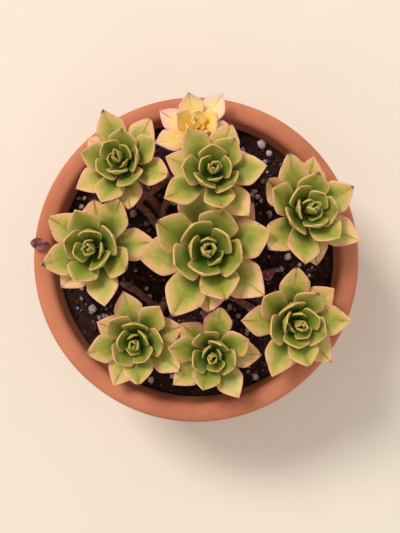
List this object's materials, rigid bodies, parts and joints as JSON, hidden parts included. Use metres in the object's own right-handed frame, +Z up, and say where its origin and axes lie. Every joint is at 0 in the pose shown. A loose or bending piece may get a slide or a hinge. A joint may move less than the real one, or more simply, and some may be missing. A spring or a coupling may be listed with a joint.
{
  "type": "potted aeonium",
  "caption": "Cluster of green succulent rosettes with peach edges, and one yellow rosette, on short stems in dark soil in a round terracotta pan.",
  "frame": {"origin": "middle of the pot's flat underside, on the pot's axis", "axes": "+Z up along the pot's axis; +Y towards the yellow rosette"},
  "size_m": [0.2108, 0.21, 0.1725],
  "materials": {
    "terracotta": "matt unglazed",
    "soil": "rough and dark",
    "stem": "woody, matt",
    "outer_leaf": "satin, green to peach at the edge",
    "middle_leaf": "satin green with a cream edge",
    "inner_leaf": "satin green with a cream edge",
    "heart_leaf": "satin green",
    "yellow_outer_leaf": "satin, cream to pink",
    "yellow_middle_leaf": "satin cream",
    "yellow_inner_leaf": "satin yellow",
    "yellow_heart_leaf": "satin bright yellow",
    "dry_leaf": "dry and dull",
    "pumice": "rough grey"
  },
  "bodies": {
    "root": {"pot": "terracotta", "soil": "soil", "top_left_stem": "stem", "top_left_outer_leaves": "outer_leaf", "top_left_middle_leaves": "middle_leaf", "top_left_inner_leaves": "inner_leaf", "top_left_heart_leaves": "heart_leaf", "yellow_stem": "stem", "yellow_outer_leaves": "yellow_outer_leaf", "yellow_middle_leaves": "yellow_middle_leaf", "yellow_inner_leaves": "yellow_inner_leaf", "yellow_heart_leaves": "yellow_heart_leaf", "top_middle_stem": "stem", "top_middle_outer_leaves": "outer_leaf", "top_middle_middle_leaves": "middle_leaf", "top_middle_inner_leaves": "inner_leaf", "top_middle_heart_leaves": "heart_leaf", "top_right_stem": "stem", "top_right_outer_leaves": "outer_leaf", "top_right_middle_leaves": "middle_leaf", "top_right_inner_leaves": "inner_leaf", "top_right_heart_leaves": "heart_leaf", "left_stem": "stem", "left_outer_leaves": "outer_leaf", "left_middle_leaves": "middle_leaf", "left_inner_leaves": "inner_leaf", "left_heart_leaves": "heart_leaf", "middle_stem": "stem", "middle_outer_leaves": "outer_leaf", "middle_middle_leaves": "middle_leaf", "middle_inner_leaves": "inner_leaf", "middle_heart_leaves": "heart_leaf", "bottom_right_stem": "stem", "bottom_right_outer_leaves": "outer_leaf", "bottom_right_middle_leaves": "middle_leaf", "bottom_right_inner_leaves": "inner_leaf", "bottom_right_heart_leaves": "heart_leaf", "bottom_left_stem": "stem", "bottom_left_outer_leaves": "outer_leaf", "bottom_left_middle_leaves": "middle_leaf", "bottom_left_inner_leaves": "inner_leaf", "bottom_left_heart_leaves": "heart_leaf", "bottom_middle_stem": "stem", "bottom_middle_outer_leaves": "outer_leaf", "bottom_middle_middle_leaves": "middle_leaf", "bottom_middle_inner_leaves": "inner_leaf", "bottom_middle_heart_leaves": "heart_leaf", "dry_leaf_rim": "dry_leaf", "dry_leaf_back": "dry_leaf", "dry_leaf_right": "dry_leaf", "pumice_1": "pumice", "pumice_2": "pumice", "pumice_3": "pumice", "pumice_4": "pumice", "pumice_5": "pumice"}
  },
  "joints": []
}
